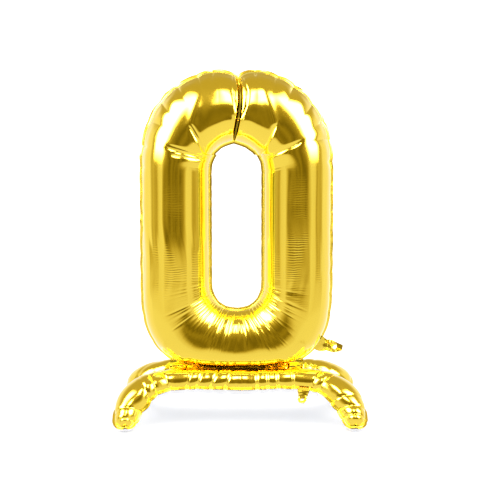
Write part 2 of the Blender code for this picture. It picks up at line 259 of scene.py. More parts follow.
crown_outer = partial(outline_end, RING_HALF_WIDTH, CROWN_HEIGHT, CROWN_POWER, RING_TOP, 1, -CROWN_NOTCH)
crown_inner = partial(outline_end, HOLE_HALF_WIDTH, HOLE_END_HEIGHT, HOLE_POWER, HOLE_TOP, 1, HOLE_NOTCH)
sole_outer = partial(outline_end, RING_HALF_WIDTH, SOLE_HEIGHT, SOLE_POWER, RING_BOTTOM, -1, 0)
sole_inner = partial(outline_end, HOLE_HALF_WIDTH, HOLE_END_HEIGHT, HOLE_POWER, HOLE_BOTTOM, -1, 0)


def angle_at(x, half_width, power):
    return np.arccos(np.clip((x / half_width) ** (power / 2), 0, 1))


def right_half(crown, sole, half_width, power):
    """One seam's points in X and Z, from the slit at the top down the right side to the bottom."""
    by_slit = crown(angle_at(np.linspace(0, SLIT_ZONE, FINE // 4), half_width, power))
    fanned = crown(np.linspace(1, 0, FINE)[1:] * angle_at(SLIT_ZONE, half_width, power))
    limb = lerp(fanned[-1], sole(np.zeros(1))[0], np.linspace(0, 1, FINE)[1:-1, None])
    return np.concatenate((by_slit, fanned, limb, sole(np.linspace(0, math.pi / 2, FINE))))


def ring_outline():
    """The whole ring's (outer, inner) points, all the way round from the slit, at the mesh's step."""
    outer = right_half(crown_outer, sole_outer, RING_HALF_WIDTH, CROWN_POWER)
    inner = right_half(crown_inner, sole_inner, HOLE_HALF_WIDTH, HOLE_POWER)
    by_slit = sum(closer * np.exp(-((outer[:, 0] / reach) ** 2)) for closer, reach in SLIT_CLOSER)
    closer = 1 + by_slit * (outer[:, 1] > HOLE_TOP)
    measure = arc_length(outer, closer[1:])
    places = resampled(np.arange(len(outer)), measure, round(measure[-1] / RING_STEP))
    halves = []
    for line in (outer, inner):
        right = np.stack([np.interp(places, np.arange(len(line)), line[:, k]) for k in (0, 1)], axis=1)
        left = right[-2:0:-1] * (-1, 1)
        halves.append(np.concatenate((right, left)))
    return halves


def loop_normals(loop, towards):
    run = np.roll(loop, -1, axis=0) - np.roll(loop, 1, axis=0)
    return unit(np.stack((-run[:, 1], run[:, 0]), axis=1)) * towards


def slit_rounding(flat_x, flat_z):
    """1 in the open ring, falling to 0 at the slit's sealed strip."""
    share = np.clip((np.abs(flat_x) - SLIT_HALF_WIDTH) / SLIT_ROUND, 0, 1)
    rounded = (1 - (1 - share) ** SLIT_POWER) ** (1 / SLIT_POWER)
    return np.where(flat_z < HOLE_TOP - SEAM - HOLE_END_HEIGHT, 1.0, rounded)


def eased(rows):
    """Rows round a loop, each evened out with its neighbours."""
    shifts = range(-3 * EASING, 3 * EASING + 1)
    weights = [math.exp(-((k / EASING) ** 2) / 2) for k in shifts]
    return sum(np.roll(rows, k, axis=0) * weight for k, weight in zip(shifts, weights)) / sum(weights)


# ---- sheets of the ring

RING_COLUMNS = 92
FULL_HALF_DEPTH = 0.0708
EASING = 8  # rows over which the tube eases from one stretch of the ring to the next
EASED_POWER = 0.7
HELD_BY_SLIT = 0.030  # the tube isn't eased this near the slit
CROWN_CREST, SOLE_CREST = 0.66, 0.31  # where the tube is fullest, from the outer seam, and 0.5 on the limbs
CROWN_TURNS, SOLE_TURNS = (0.54, 0.70), (0.11, 0.26)  # heights over which the crest moves there
TOP_ZONE, BOTTOM_ZONE = (0.50, 0.62), (0.20, 0.34)  # heights over which the limbs turn into the ends
RIPPLES_FADE = (0.62, 0.30)  # heights from which down the fine ripples start and are full

# Pinches of the two seams, by spacing and unevenness, and how far they draw the seam in
OUTER_PINCHES, INNER_PINCHES = (0.047, 0.22), (0.026, 0.28)
PINCH_PULL, PINCH_REACH = (0.55, 1.2), (0.030, 0.050)
OUTER_SCALLOP, INNER_SCALLOP = 0.0034, 0.0006
LEAST_SCALLOP = 0.30  # share of it that is left below the crown
SCALLOP_SHAPE, INNER_SCALLOP_SHAPE = 0.75, 0.8
OUTER_HOLD, INNER_HOLD = 0.020, 0.012  # how far into the sheet a seam's moves reach
MARGIN_LEAN = 0.0026  # how far back the outline's margin leans
# Heights and periods of the seams' waves, in and across the ring's plane, and of the margin's own curl
OUTER_RAGGED = ((0.0003, 0.013),)
OUTER_SWAY, INNER_SWAY = ((0.0014, 0.034), (0.0003, 0.011)), ((0.0003, 0.022),)
MARGIN_CURL = ((0.0016, 0.024),)

# Facets along the outline
CREASE_LEAN, CREASE_LEAN_PERIOD, LEAN_STARTS = 0.22, 0.055, 0.02
FACET_DEPTH, FACET_RISE = 0.0085, (0.002, 0.020)
FACET_PLAIN, FACET_TOP, FACET_BOTTOM = 0.25, 0.75, -0.17  # shares of it: on the limbs, and added at the ends
CREASE_SHARP, CREASE_SOFT, CREASE_SOFTENS = 0.30, 0.50, (0.015, 0.050)
DENT, DENT_AT, DENT_REACH = 0.0024, 0.024, 0.014  # the flat of each facet on the crown
PUCKERS, PUCKER_RISE, PUCKER_REACH, PUCKER_DEPTH = (0.0145, 0.35), (0.0, 0.006), 0.013, 0.0005

# Pleats from the hole's ends: spacing, depth, nearest and farthest reach, and strength at the upper corners
PLEATS = (
    (0.0062, 0.0018, 0.010, 0.070, 0.8),
    (0.0050, 0.0024, 0.022, 0.095, 0.8),
    (0.0036, 0.0022, 0.042, 0.105, 0.3),
)
PLEAT_JITTER, PLEAT_SHARP = 0.38, 0.6
PLEAT_SWAY, PLEAT_SWAY_PERIOD = 0.05, 0.02
PLEATS_LOW, CORNERS_HIGH, CORNERS_OUT = (0.26, 0.33), (0.520, 0.550), (0.012, 0.030)
CORNER_REACH = 0.055

# Long low ridges down the limbs, and swells
RIDGES = ((0.017, 0.00050), (0.008, 0.00022))  # period and height
RIDGE_DRIFT, RIDGE_DRIFT_PERIOD = 0.010, 0.11
SWELL, SWELL_PERIOD = 0.0008, 0.085
BOTTOM_SLACK, SLACK_BELOW = 0.0030, (0.150, 0.112)

# Folds, each from (X, Z) to (X, Z), and their (width, depth)
CROWN_RIDGES = (((-0.075, 0.727), (-0.096, 0.627)), ((0.054, 0.727), (0.082, 0.632)))
CORNER_CREASES = (
    ((-0.067, 0.581), (-0.098, 0.632)), ((-0.067, 0.564), (-0.145, 0.589)),
    ((-0.077, 0.564), (-0.136, 0.5745)), ((0.054, 0.575), (0.082, 0.634)), ((0.060, 0.564), (0.134, 0.600)),
)
SOLE_RIDGES = (((-0.158, 0.172), (-0.112, 0.128)), ((0.102, 0.128), (0.148, 0.172)))
CROWN_RIDGE, SOLE_RIDGE = (0.010, 0.0014), (0.0110, 0.0036)
CREASE, TWIN = (0.0032, 0.0030), (0.0028, 0.0016)
TWIN_STEP = (0.004, 0.006)  # from a crease to the fainter one beside it
FOLD_ENDS = 0.12  # share of its length over which a fold fades out, on both sides of each end

# The slit at the top, with the lens that swells on each side of it
SLIT_SWAY, SWAY_REACH = 0.0085, 0.050
SWAY_TURNS, SWAY_HEIGHTS = 0.2, (-0.15, 1.1)  # where it is 0, and where it ends, in slit lengths
LOBE_WIDTH = (0.0135, 0.0170)  # of the lens to the left and to the right
LOBE_HEIGHT = ((0.42, 1.0), (0.32, 0.95))  # where each lens begins and ends, in slit lengths
LOBE_BLUNTNESS = 0.6
GROOVE, GROOVE_WIDTH = 0.0022, 0.0024
GATHER, GATHER_PERIOD, GATHER_REACH, GATHER_RISE = 0.0009, 0.011, 0.020, (0.003, 0.010)
LOBE_STARTS = (HOLE_TOP - 0.03, HOLE_TOP + 0.01)

DEPTHWISE = np.array((0.0, 1.0, 0.0))


def section_shape(outer_height):
    """(share of the width from the outer seam, share of the depth) of each column, for each station."""
    crest = lerp(0.5, CROWN_CREST, smoothstep(*CROWN_TURNS, outer_height))
    crest = lerp(crest, SOLE_CREST, 1 - smoothstep(*SOLE_TURNS, outer_height))[:, None]
    angle = np.pi * np.linspace(0, 1, RING_COLUMNS)[None, :]
    outside = crest * (1 - np.cos(angle))
    inside = 1 - (1 - crest) * (1 + np.cos(angle))
    return np.where(angle < np.pi / 2, outside, inside), np.sin(angle)


def fold(points, start, end, width, depth, sharp):
    """How far a fold along a line moves the sheet. A sharp one is a crease, any other is soft."""
    start, end = np.array(start), np.array(end)
    run = end - start
    length = np.linalg.norm(run)
    offset = points - start
    share = (offset @ run) / length**2
    distance = np.abs(offset[..., 0] * -run[1] + offset[..., 1] * run[0]) / length / width
    ends = smoothstep(-FOLD_ENDS, FOLD_ENDS, share) * (1 - smoothstep(1 - FOLD_ENDS, 1 + FOLD_ENDS, share))
    return depth * ends * np.exp(-distance if sharp else -(distance**2))


def ring_seams():
    """The ring's outer and inner seam. Both sheets share them, so that their margins lie together."""
    rng = np.random.default_rng(SEED)
    outer, inner = (SimpleNamespace(line=line) for line in ring_outline())
    for seam, towards in ((outer, 1), (inner, -1)):
        away = loop_normals(seam.line, towards)
        seam.away = np.stack((away[:, 0], np.zeros(len(away)), away[:, 1]), axis=1)[:, None]
        along = arc_length(np.concatenate((seam.line, seam.line[:1])))
        seam.along, seam.length = along[:-1], along[-1]
    outer.top = smoothstep(*TOP_ZONE, outer.line[:, 1])[:, None]
    outer.bottom = 1 - smoothstep(*BOTTOM_ZONE, outer.line[:, 1])[:, None]
    outer.marks = marks_along(rng, 0, outer.length, *OUTER_PINCHES)
    inner.marks = marks_along(rng, 0, inner.length, *INNER_PINCHES)
    outer.pull = rng.uniform(*PINCH_PULL, len(outer.marks))
    outer.reach = rng.uniform(*PINCH_REACH, len(outer.marks))
    outer.pull[-1] = outer.pull[0]
    scallop = creases(outer.along, outer.marks, outer.pull, SCALLOP_SHAPE)
    outer.drawn_in = OUTER_SCALLOP * lerp(LEAST_SCALLOP, 1, outer.top[:, 0]) * scallop
    outer.drawn_in += waves(rng, outer, OUTER_RAGGED)
    inner.drawn_in = INNER_SCALLOP * (1 - pillows(inner.along, inner.marks, INNER_SCALLOP_SHAPE))
    outer.sway = waves(rng, outer, OUTER_SWAY)
    inner.sway = waves(rng, inner, INNER_SWAY)
    outer.curl = waves(rng, outer, MARGIN_CURL)
    return outer, inner


def ring_tube(side, outer, inner):
    """The smooth tube: (flat places in X and Z, share of the depth, points, unit normals) of one sheet."""
    share, depth = section_shape(outer.line[:, 1])
    flat = lerp(outer.line[:, None], inner.line[:, None], share[..., None])
    width = np.linalg.norm(outer.line - inner.line, axis=1)
    section = np.minimum(FULL_HALF_DEPTH, DEPTH_SHARE * width)[:, None] * depth
    body = np.stack((flat[..., 0], section, flat[..., 1]), axis=-1)
    held = np.exp(-((flat[..., 0] / HELD_BY_SLIT) ** 2)) * (flat[..., 1] > HOLE_TOP - HOLE_END_HEIGHT)
    body = lerp(body, eased(body), (depth**EASED_POWER * (1 - held))[..., None])
    rounding = slit_rounding(body[..., 0], body[..., 2])
    points = np.stack((body[..., 0], side * (SEALED + body[..., 1] * rounding), body[..., 2]), axis=-1)
    normals = surface_normals(points, loop=True)
    normals *= np.sign((normals[..., 1] * side).sum())
    return flat, depth, points, normals


def facets(rng, outer, from_outer):
    """How far the sheet is pressed in along the outline: facets parted by creases, and small puckers."""
    lean = CREASE_LEAN * wave(rng, outer.along, CREASE_LEAN_PERIOD, outer.length)[:, None]
    line = outer.along[:, None] + lean * from_outer * smoothstep(0, LEAN_STARTS, outer.along)[:, None]
    line = np.clip(line, 0, outer.length)
    share = FACET_PLAIN + FACET_TOP * outer.top + FACET_BOTTOM * outer.bottom
    reach = np.interp(line, outer.marks, outer.reach) * (0.5 + 0.6 * outer.top)
    sharpness = CREASE_SHARP + CREASE_SOFT * smoothstep(*CREASE_SOFTENS, from_outer)
    crease = creases(line, outer.marks, outer.pull, sharpness) * band(from_outer, FACET_RISE, reach, 3)
    inward = FACET_DEPTH * share * crease
    dent = pillows(line, outer.marks, 1.0) * np.exp(-(((from_outer - DENT_AT) / DENT_REACH) ** 2))
    inward += DENT * dent * outer.top

    marks = marks_along(rng, 0, outer.length, *PUCKERS)
    pucker = creases(line, marks, rng.uniform(0.0, 1.0, len(marks)) ** 2, 0.7) * (1 - 0.8 * outer.bottom)
    return inward + PUCKER_DEPTH * pucker * band(from_outer, PUCKER_RISE, PUCKER_REACH, 2)


def pleats(rng, inner, from_inner):
    """Pleats that fan out from the hole: long fine ones at the bottom, short ones at the top corners."""
    x, z = inner.line[:, :1], inner.line[:, 1:]
    low = 1 - smoothstep(*PLEATS_LOW, z)
    corners = smoothstep(*CORNERS_HIGH, z) * smoothstep(*CORNERS_OUT, np.abs(x))
    corners = corners * np.exp(-((from_inner / CORNER_REACH) ** 2))
    inward = 0
    for spacing, most, nearest, farthest, at_corners in PLEATS:
        marks = marks_along(rng, 0, inner.length, spacing, PLEAT_JITTER)
        depths = rng.uniform(0.0, 1.0, len(marks)) ** 1.6
        reaches = rng.uniform(0.55, 1.0, len(marks)) * farthest
        sway = PLEAT_SWAY * wave(rng, inner.along, PLEAT_SWAY_PERIOD, inner.length)[:, None]
        line = np.clip(inner.along[:, None] + sway * from_inner, 0, inner.length)
        profile = band(from_inner, (0.4 * nearest, 1.6 * nearest), np.interp(line, marks, reaches), 3)
        profile *= np.maximum(low, at_corners * corners)
        inward = inward + most * profile * creases(line, marks, depths, PLEAT_SHARP)
    return inward


def ridges(rng, outer, points, depth, from_outer, from_inner):
    """Long low ridges down the straight limbs, swells all round, and the slack of the bottom.

    The slack keeps the ring clear of the base's tubes as the digit rocks.
    """
    straight = 1 - np.maximum(outer.top, outer.bottom)
    drift = RIDGE_DRIFT * wave(rng, outer.along, RIDGE_DRIFT_PERIOD, outer.length)[:, None]
    inward = BOTTOM_SLACK * smoothstep(*SLACK_BELOW, points[..., 2]) * depth
    for period, height in RIDGES:
        for limb in (-1, 1):
            on_limb = straight * (np.sign(points[..., 0]) == limb) * smoothstep(0.004, 0.02, from_inner)
            inward += height * wave(rng, from_outer + drift, period) * on_limb
    return inward + SWELL * wave(rng, outer.along, SWELL_PERIOD, outer.length)[:, None] * depth


def folds(flat, depth, from_outer):
    """Ridges over the crown and the bottom's corners, and creases where the crown turns into the limbs."""
    inward = np.zeros(from_outer.shape)
    for line in CROWN_RIDGES:
        inward -= fold(flat, *line, *CROWN_RIDGE, sharp=False) * depth
    for line in CORNER_CREASES:
        inward += fold(flat, *line, *CREASE, sharp=True)
        inward += fold(flat, *(np.array(line) + TWIN_STEP), *TWIN, sharp=True)
    for line in SOLE_RIDGES:
        inward -= fold(flat, *line, *SOLE_RIDGE, sharp=False) * smoothstep(0, 0.012, from_outer)
    return inward


def slit_lobes(rng, points, depth, from_outer):
    """The groove round the lens beside the slit, and the gathers that run from the slit into the limb."""
    x, z = points[..., 0], points[..., 2]
    right = (x >= 0).astype(int)
    low, high = np.moveaxis(np.array(LOBE_HEIGHT)[right], -1, 0)
    height = np.clip((z - HOLE_TOP) / TOP_LIMB, 0, 1)
    lens = np.sin(np.pi * np.clip((height - low) / (high - low), 0, 1)) ** LOBE_BLUNTNESS
    lens *= np.array(LOBE_WIDTH)[right]
    above = smoothstep(*LOBE_STARTS, z) * depth
    inward = GROOVE * np.exp(-np.abs(np.abs(x) - lens) / GROOVE_WIDTH) * (lens > 0.001) * above
    gather = wave(rng, from_outer, GATHER_PERIOD) * np.exp(-((x / GATHER_REACH) ** 2)) * above
    return inward + GATHER * gather * smoothstep(*GATHER_RISE, np.abs(x))


def slit_sway(points):
    """How far the slit and what is beside it stray from a straight line down the middle."""
    height = (points[..., 2] - HOLE_TOP) / TOP_LIMB
    sway = np.sin(np.pi * (height - SWAY_TURNS) / (1 - SWAY_TURNS))
    sway *= SLIT_SWAY * np.exp(-((points[..., 0] / SWAY_REACH) ** 2))
    return np.where((height > SWAY_HEIGHTS[0]) & (height < SWAY_HEIGHTS[1]), sway, 0.0)


def ring_sheet(side, rng):
    """One sheet of the ring as (points, faces, seam, ripple): side -1 is the front, +1 the back."""
    outer, inner = ring_seams()
    flat, depth, points, normals = ring_tube(side, outer, inner)
    from_outer, from_inner = edge_distances(points)
    inward = facets(rng, outer, from_outer)
    inward += pleats(rng, inner, from_inner)
    inward += ridges(rng, outer, points, depth, from_outer, from_inner)
    inward += folds(flat, depth, from_outer)
    inward += slit_lobes(rng, points, depth, from_outer)
    points = points - normals * inward[..., None]
    points += seam_move(outer, DEPTHWISE, from_outer, OUTER_HOLD)
    points += seam_move(inner, DEPTHWISE, from_inner, INNER_HOLD)
    curled = outer.away * SEAM + DEPTHWISE * (MARGIN_LEAN + outer.curl[:, None, None])
    points = with_margins(points, curled, inner.away * SEAM, DEPTHWISE * side * (SEALED_EDGE - SEALED))
    points[..., 0] += slit_sway(points) + RING_SHIFT
    seam = np.pad(np.exp(-np.minimum(from_outer, from_inner) / SEAM_SHADE), MARGINS, mode="edge")
    ripple = (1 - np.maximum(outer.top, outer.bottom)) * depth**2
    ripple = np.pad(ripple * smoothstep(*RIPPLES_FADE, outer.line[:, 1:]), MARGINS)
    faces = grid_faces(*points.shape[:2], loop=True, flip=side > 0)
    return points.reshape(-1, 3), faces, seam.reshape(-1), ripple.reshape(-1)


def make_ring(gold):
    for name, side, seed in (("foil_number_front", -1, 1), ("foil_number_back", 1, 2)):
        points, faces, seam, ripple = ring_sheet(side, np.random.default_rng(SEED + seed))
        sheet = mesh_object(name, points, faces, gold, seam=seam, ripple=ripple)
        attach(sheet, "number")
        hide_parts("number_front_panel" if side < 0 else "number_back_panel")


# ---- base

ARCH_STEP = 0.0017
ARCH_COLUMNS = 58
WEB_COLUMNS = 15
ARCH_JOIN = 0.012  # the creases start this far from where the two halves of an arch meet
FLOOR_GAP = 0.0003

LEG_SEED = 40
# Pinches, sway, scallop and depth of the creases, for the outer and the inner seam
LEG_SEAMS = (((0.030, 0.25), 0.0010, 0.0020, 0.0024), ((0.036, 0.30), 0.0006, 0.0008, 0.0026))
LEG_SWAY_PERIOD = 0.022
LEG_HOLD = 0.012
LEG_LEAN, LEG_LEAN_PERIOD = 0.30, 0.05
LEG_PULL, LEG_REACH, LEG_RISE = (0.45, 1.2), (0.035, 0.070), (0.0, 0.008)
LEG_SHARP, LEG_SOFT, LEG_SOFTENS = 0.38, 0.5, (0.008, 0.05)
WRINKLES, WRINKLE_RISE, WRINKLE_REACH = (0.0095, 0.35), (0.0, 0.005), 0.013
WRINKLE, TOE_WRINKLE, TOE = 0.0003, 0.0018, (0.72, 0.95)
LEG_SWELL, LEG_SWELL_PERIOD = 0.0009, 0.028
CROSS_CREASE, CROSS_WIDTH = 0.0011, 0.0020  # the thin creases that run right over the tube


def bezier(u):
    points = np.repeat(np.array(ARCH)[:, None], len(u), axis=1)
    while len(points) > 1:
        points = lerp(points[:-1], points[1:], u[None, :, None])
    return points[0]


def arch_frames(u):
    """(centres, tangents, level directions towards the outer seam, normals towards the upper sheet)."""
    step = 0.001
    tangents = unit(bezier(u + step) - bezier(u - step))
    level = unit(np.cross(tangents, (0.0, 0.0, 1.0)))
    return bezier(u), tangents, level, np.cross(level, tangents)


def along_leg(tube, shoulder, foot, u):
    rise, fall = smoothstep(*SHOULDER_RISE, u), smoothstep(*FOOT_FALL, u)
    return tube + (shoulder - tube) * rise + (foot - shoulder) * fall


def arch_sizes(u):
    """(half width, half depth, dip of the seams, how steeply the width changes along) at each u."""
    half_width = along_leg(TUBE_RADIUS, SHOULDER_HALF_WIDTH, FOOT_HALF_WIDTH, u)
    half_depth = along_leg(TUBE_RADIUS, SHOULDER_HALF_DEPTH, FOOT_HALF_DEPTH, u)
    dip = along_leg(TUBE_DIP, TUBE_DIP, FOOT_DIP, u)
    along = np.clip((u - TIP_STARTS) / (1 - TIP_STARTS), 0, 1)
    ends = bezier(np.array((TIP_STARTS, 1.0)))
    tip_length = np.linalg.norm(ends[1] - ends[0])
    round_off = np.sqrt(np.maximum(0.0, 1 - along * along))
    slope = -half_width * along / (tip_length * np.maximum(round_off, 0.02))
    return half_width * round_off, half_depth * round_off**TIP_BLUNTNESS, dip, slope


def outer_seam(u):
    """The outer seam's points, at the pocket's edge."""
    centre, _, level, normal = arch_frames(u)
    half_width, half_depth, dip, _ = arch_sizes(u)
    across, down = half_width * np.cos(dip), half_depth * np.sin(dip)
    return centre + level * across[:, None] - normal * down[:, None]


def half_arch_stations():
    body = np.linspace(0, TIP_STARTS, FINE)[:-1]
    tip = TIP_STARTS + (1 - TIP_STARTS) * np.sin(np.linspace(0, math.pi / 2, FINE))
    fine = np.concatenate((body, tip))
    edge = bezier(fine) + arch_frames(fine)[2] * arch_sizes(fine)[0][:, None]
    measure = arc_length(edge)
    return resampled(fine, measure, round(measure[-1] / ARCH_STEP))


def leg_seams(quarter, along, free):
    """The outer and inner seam of one leg, which its two sheets share."""
    rng = np.random.default_rng(SEED + LEG_SEED + quarter[0] + 3 * quarter[1])
    seams = [SimpleNamespace(marks=marks_along(rng, 0, along[-1], *row[0])) for row in LEG_SEAMS]
    for seam, (_, sway, scallop, seam.depth) in zip(seams, LEG_SEAMS):
        seam.sway = sway * wave(rng, along, LEG_SWAY_PERIOD) * free
        seam.drawn_in = scallop * (1 - pillows(along, seam.marks, SCALLOP_SHAPE)) * free
    return seams


def leg_creases(rng, seams, distances, u, along, free):
    """How far the sheet of a leg is pressed in, with the most wrinkles at the toe."""
    lean = LEG_LEAN * wave(rng, along, LEG_LEAN_PERIOD)[:, None] * free
    wrinkle = WRINKLE + TOE_WRINKLE * smoothstep(*TOE, u)[:, None]
    inward = 0
    for seam, distance in zip(seams, distances):
        line = np.clip(along[:, None] + lean * distance, 0, along[-1])
        sharpness = LEG_SHARP + LEG_SOFT * smoothstep(*LEG_SOFTENS, distance)
        crease = creases(line, seam.marks, rng.uniform(*LEG_PULL, len(seam.marks)), sharpness)
        reach = np.interp(line, seam.marks, rng.uniform(*LEG_REACH, len(seam.marks)))
        inward = inward + seam.depth * crease * band(distance, LEG_RISE, reach, 2.2)
        marks = marks_along(rng, 0, along[-1], *WRINKLES)
        crease = creases(line, marks, rng.uniform(0.1, 1.0, len(marks)), 0.8)
        inward += wrinkle * crease * band(distance, WRINKLE_RISE, WRINKLE_REACH, 2)
    middle = np.sin(np.pi * np.linspace(0, 1, ARCH_COLUMNS))
    inward += LEG_SWELL * wave(rng, along, LEG_SWELL_PERIOD)[:, None] * middle * free
    line = np.clip(along[:, None] + lean * distances[0], 0, along[-1])
    nearest = np.abs(line[..., None] - seams[0].marks[1:-1]).min(axis=2)
    return inward + CROSS_CREASE * np.exp(-((nearest / CROSS_WIDTH) ** 2))


def arch_sheet(side, quarter, rng):
    """Upper (+1) or lower (-1) sheet of half an arch, as a grid from the inner margin to the outer.

    quarter is (sign of X, minus the sign of Y): the front right leg's grid is mirrored by it.
    """
    u = half_arch_stations()
    centre, tangent, level, normal = arch_frames(u)
    half_width, half_depth, dip, slope = arch_sizes(u)
    sweep = (np.pi + 2 * dip * side)[:, None]
    angle = (np.pi + dip)[:, None] - side * sweep * np.linspace(0, 1, ARCH_COLUMNS)
    points = centre[:, None] + level[:, None] * (half_width[:, None] * np.cos(angle))[..., None]
    points = points + normal[:, None] * (half_depth[:, None] * np.sin(angle) + side * SEALED)[..., None]
    normals = surface_normals(points)
    normals *= np.sign((normals * (points - centre[:, None])).sum())

    from_inner, from_outer = edge_distances(points)
    along = arc_length(centre + level * half_width[:, None])
    free = smoothstep(0.0, ARCH_JOIN, along)[:, None]
    seams, distances = leg_seams(quarter, along, free[:, 0]), (from_outer, from_inner)
    inward = leg_creases(rng, seams, distances, u, along, free)
    inward *= free * np.clip(half_width / FOOT_HALF_WIDTH, 0, 1)[:, None] ** 0.5
    points = points - normals * inward[..., None]
    for seam, distance, way in zip(seams, distances, (level, -level)):
        seam.away = (way - slope[:, None] * tangent)[:, None] / np.hypot(1, slope)[:, None, None]
        points += seam_move(seam, normal[:, None], distance, LEG_HOLD)

    thinner = side * (SEALED_EDGE - SEALED) * normal[:, None]
    points = with_margins(points, seams[1].away * SEAM, seams[0].away * SEAM, thinner)
    points[0, :, 0] = 0.0  # where the arch's other half goes on
    points[..., 2] = np.maximum(points[..., 2], FLOOR_GAP)
    points[..., :2] *= quarter
    seam = np.exp(-np.minimum(from_outer, from_inner) / SEAM_SHADE)
    return points, np.pad(seam, MARGINS, mode="edge"), u


def base_sheet(side, rng):
    """One sheet of the base, both arches and the web between them, as (points, faces, seam)."""
    all_points, all_faces, all_seams = [], [], []
    count = 0
    for quarter in ((1, 1), (-1, 1), (1, -1), (-1, -1)):
        points, seam, u = arch_sheet(side, quarter, rng)
        flip = (quarter[0] * quarter[1] * side) < 0
        edge = points[u <= WEB_ENDS, 0]
        middle = edge * (1, 0, 1)
        web = lerp(edge[:, None], middle[:, None], np.linspace(0, 1, WEB_COLUMNS)[None, :, None])
        for grid, nearness, turned in ((points, seam, flip), (web, np.ones(web.shape[:2]), not flip)):
            rows, columns = grid.shape[:2]
            all_points.append(grid.reshape(-1, 3))
            all_faces.append(grid_faces(rows, columns, count, flip=turned))
            all_seams.append(nearness.reshape(-1))
            count += rows * columns
    return np.concatenate(all_points), np.concatenate(all_faces), np.concatenate(all_seams)


def make_base(gold, silver):
    for name, side, material, node in (
        ("foil_base_upper", 1, gold, "base_upper_panel"),
        ("foil_base_lower", -1, silver, "base_lower_panel"),
    ):
        points, faces, seam = base_sheet(side, np.random.default_rng(SEED + 10 + side))
        sheet = mesh_object(name, points, faces, material, seam=seam)
        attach(sheet, "base")
        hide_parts(node)


# ---- tails and tongues

STRIP_STEP = 0.0011
STRIP_SEAM = 0.6  # how much the shader treats tails and tongues as seam
TAIL_TUCK = 0.004  # how far a tail reaches in over the seam's margin
PLY_GAP = 0.0007  # from the tail's middle to each ply

# Length, root width, tip radius, hole radius, how far out the hole is, and lean
RING_TAIL = (0.058, 0.034, 0.0095, 0.0045, 0.040, math.radians(18))
BASE_TAIL = (0.036, 0.026, 0.0080, 0.0035, 0.024, 0.0)
RING_TAIL_ANGLE = math.radians(36.5)  # where the ring's tail is, down the lower right corner from the side
BASE_TAIL_AT = TIP_STARTS * 7 / 18  # share of the front arch's right half
BASE_TAIL_HANG = math.radians(62)
TAIL_LIFT, TAIL_SHRINK, TAIL_JITTER = 0.0050, 0.10, (0.0016, 0.0022)

TONGUE_X, TONGUE_WIDTH = 0.132, 0.030
TONGUE_FOOT, TONGUE_TOP = 0.0790, 0.1300
TONGUE_DEPTH = -0.0022
TONGUE_STRETCH = (0.083, 0.112)  # heights between which the tongue's free part bends
TONGUE_SLACK = 0.0030
TONGUE_CRUMPLE = (0.0020, 0.0020, 0.0016)

# Spacing and strength of the crumpled foil's straight folds
CRUMPLE = ((0.026, 1.0), (0.015, 0.7), (0.009, 0.45), (0.009, 0.4), (0.005, 0.22))


def ring_tail_root():
    """(middle of the root, direction along the tail, direction across it) on the ring."""
    step = 0.01
    before, at, after = sole_outer(RING_TAIL_ANGLE + step * np.array((-1, 0, 1)))
    run = unit(before - after)
    ahead, over = np.array((run[1], 0, -run[0])), np.array((run[0], 0, run[1]))
    return np.array((at[0] + RING_SHIFT, 0, at[1])) + ahead * SEAM, ahead, over


def base_tail_root():
    """The same on the base, where the tail hangs from the front arch."""
    step = 0.02
    places = BASE_TAIL_AT + step * np.array((-1, 0, 1))
    before, at, after = outer_seam(places)
    over = unit(after - before)
    level = arch_frames(places)[2][1]
    outward = unit(level - level @ over * over)
    ahead = outward * math.cos(BASE_TAIL_HANG) - np.cross(outward, over) * math.sin(BASE_TAIL_HANG)
    return at + outward * SEAM, ahead, over


def creased(rng, first, second, period):
    """Straight folds in one direction over a flat sheet, from about -1 to 1, as crumpled foil has."""
    angle = rng.uniform(0, np.pi)
    line = first * np.cos(angle) + second * np.sin(angle)
    marks = marks_along(rng, line.min() - period, line.max() + period, period, 0.35)
    return np.interp(line, marks, rng.uniform(-1, 1, len(marks)))


def crumple(rng, first, second):
    return sum(weight * creased(rng, first, second, period) for period, weight in CRUMPLE)


def make_tail(body, ply_name, sign, tail, root, material, seed):
    """One ply of a filling tail. Both plies of a tail crumple alike, so they take the same seed."""
    length, root_width, tip_radius, hole_radius, hole_at, lean = tail
    rng = np.random.default_rng(SEED + seed)
    out = np.linspace(-TAIL_TUCK, length, round((length + TAIL_TUCK) / STRIP_STEP))[:, None]
    share = np.linspace(-1, 1, round(root_width / STRIP_STEP))[None, :]
    half = lerp(root_width / 2, tip_radius, np.clip(out / (length - tip_radius), 0, 1))
    beyond = np.clip((out - (length - tip_radius)) / tip_radius, 0, 1)
    across = half * np.sqrt(1 - beyond**2) * share
    out = np.broadcast_to(out, across.shape)

    # The hole, whose edge the nearest points are moved to.
    reach = np.hypot(out - hole_at, across)
    near = np.abs(reach - hole_radius) < 0.75 * STRIP_STEP
    pull = np.where(near, hole_radius / np.maximum(reach, 1e-9), 1.0)
    out, across = hole_at + (out - hole_at) * pull, across * pull

    free = smoothstep(0.002, 0.4 * length, out)
    turned = lean * free
    lift = TAIL_LIFT * free * crumple(rng, out, across)
    along = (out * np.cos(turned) - across * np.sin(turned)) * (1 - TAIL_SHRINK * free)
    along += TAIL_JITTER[0] * free * crumple(rng, out, across)
    sideways = out * np.sin(turned) + across * np.cos(turned)
    sideways += TAIL_JITTER[1] * free * crumple(rng, out, across)
    origin, ahead, over = root
    points = origin + along[..., None] * ahead + sideways[..., None] * over
    points += (lift + sign * PLY_GAP)[..., None] * np.cross(ahead, over)

    faces = grid_faces(*reach.shape)
    inside = np.hypot(out - hole_at, across).reshape(-1)[faces].mean(axis=1) < 0.98 * hole_radius
    seam = np.full(reach.size, STRIP_SEAM)
    name = f"foil_{body}_tail_{ply_name}"
    ply = mesh_object(name, points.reshape(-1, 3), faces[~inside], material, seam=seam)
    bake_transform(ply)
    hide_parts(f"{body}_tail_{ply_name}_ply")


